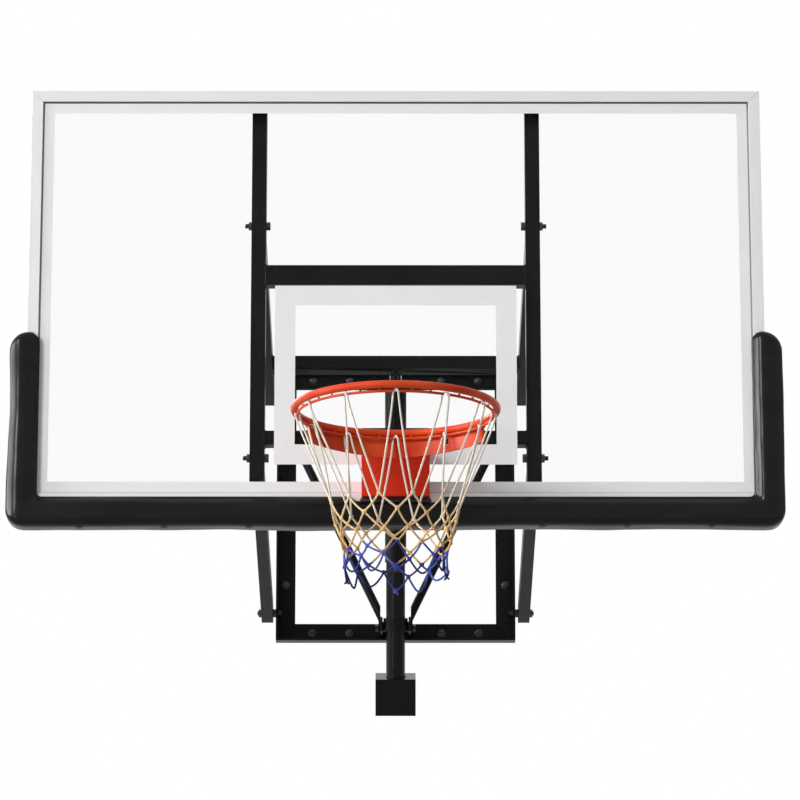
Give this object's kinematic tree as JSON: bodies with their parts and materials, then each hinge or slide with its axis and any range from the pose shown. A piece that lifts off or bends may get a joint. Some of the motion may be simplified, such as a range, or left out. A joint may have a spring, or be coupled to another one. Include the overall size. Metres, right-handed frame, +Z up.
{
  "type": "basketball backboard",
  "caption": "Wall-mounted basketball goal with a framed glass board on parallel swing arms, a screw jack that raises and lowers it, an edge pad, a breakaway ring and a cord net.",
  "frame": {"origin": "middle of the wall bolt pattern, on the back face of the wall frame", "axes": "+Z up, +X to the right seen from the court, +Y into the wall"},
  "size_m": [1.882, 1.6157, 1.4078],
  "materials": {
    "silver_frame": "satin anodised",
    "clear_glass": "clear tempered",
    "white_print": "printed film",
    "black_pad": "moulded skin foam",
    "black_rubber": "matte",
    "grey_seal": "matte",
    "black_steel": "satin powder coat",
    "dark_bolts": "blackened",
    "bright_steel": "zinc plated",
    "bronze_nut": "machined",
    "orange_paint": "gloss powder coat",
    "net_cord": "knotted cord"
  },
  "bodies": {
    "wall_frame": {"left_wall_leg": "black_steel", "right_wall_leg": "black_steel", "wall_top_rail": "black_steel", "wall_bottom_rail": "black_steel", "jack_bracket": "black_steel", "left_brace": "black_steel", "right_brace": "black_steel", "wall_pivot_bolts": "dark_bolts", "brace_bolts": "dark_bolts"},
    "upper_arms": {"left_upper_arm": "black_steel", "right_upper_arm": "black_steel", "lift_tube": "black_steel"},
    "lower_arms": {"left_lower_arm": "black_steel", "right_lower_arm": "black_steel"},
    "board": {"left_upright": "black_steel", "right_upright": "black_steel", "upper_cross_bar": "black_steel", "lower_cross_bar": "black_steel", "board_pivot_bolts": "dark_bolts", "frame_bottom": "silver_frame", "frame_top": "silver_frame", "frame_right": "silver_frame", "frame_left": "silver_frame", "glass_pane": "clear_glass", "glass_seal": "grey_seal", "border_stripe": "white_print", "target_stripe": "white_print", "edge_pad": "black_pad", "ring_back_plate": "orange_paint", "ring_cushion": "black_rubber", "ring_backing_plate": "black_steel", "ring_bolts": "bright_steel", "ring_housing": "orange_paint", "spring_anchor": "bright_steel", "ring_hinge_pin": "bright_steel", "return_springs": "bright_steel"},
    "ring_swing": {"ring": "orange_paint", "ring_support": "orange_paint", "net_rods": "orange_paint", "net": "net_cord"},
    "jack_body": {"jack_tube": "black_steel", "jack_collar": "black_steel", "drive_box": "black_steel", "drive_cover": "black_steel", "thrust_bearing": "bright_steel"},
    "jack_rod": {"lift_nut": "bronze_nut", "push_tube": "bright_steel", "jack_sleeve": "black_steel", "clevis_pin": "bright_steel"},
    "jack_screw": {"lead_screw": "bright_steel"}
  },
  "joints": [
    {"name": "raise_and_lower", "type": "hinge", "parent": "wall_frame", "child": "upper_arms", "pos_m": [0, -0.028, 0.295], "axis": [1, 0, 0], "range_deg": [0, 36]},
    {"name": "lower_arm_pivot", "type": "hinge", "parent": "wall_frame", "child": "lower_arms", "pos_m": [0, -0.028, -0.295], "axis": [1, 0, 0], "range_deg": [0, 36]},
    {"name": "board_pivot", "type": "hinge", "parent": "upper_arms", "child": "board", "pos_m": [0, -0.9215, 0.50128], "axis": [1, 0, 0], "range_deg": [-36, 0]},
    {"name": "jack_tilt", "type": "hinge", "parent": "wall_frame", "child": "jack_body", "pos_m": [0, -0.097, -0.338], "axis": [1, 0, 0], "range_deg": [-2, 0.5]},
    {"name": "jack_slide", "type": "slide", "parent": "jack_body", "child": "jack_rod", "axis": [0, -0.2467, 0.9691], "range_m": [-0.141, 0]},
    {"name": "screw_turn", "type": "hinge", "parent": "jack_body", "child": "jack_screw", "pos_m": [0, -0.097, -0.338], "axis": [0, -0.2467, 0.9691], "range_deg": [0, 5044]},
    {"name": "ring_breakaway", "type": "hinge", "parent": "board", "child": "ring_swing", "pos_m": [0, -1.058, -0.10572], "axis": [1, 0, 0], "range_deg": [0, 30], "stiffness_Nm_per_rad": 200, "springref_deg": -20.05, "deforming": ["return_springs"]}
  ],
  "couplings": [
    {"joint": "lower_arm_pivot", "follows": "raise_and_lower", "ratio": 1},
    {"joint": "board_pivot", "follows": "raise_and_lower", "ratio": -1},
    {"joint": "jack_tilt", "follows": "raise_and_lower", "ratio": -0.04632},
    {"joint": "jack_slide", "follows": "raise_and_lower", "m_per_rad": -0.22274},
    {"joint": "screw_turn", "follows": "raise_and_lower", "ratio": 139.96}
  ]
}
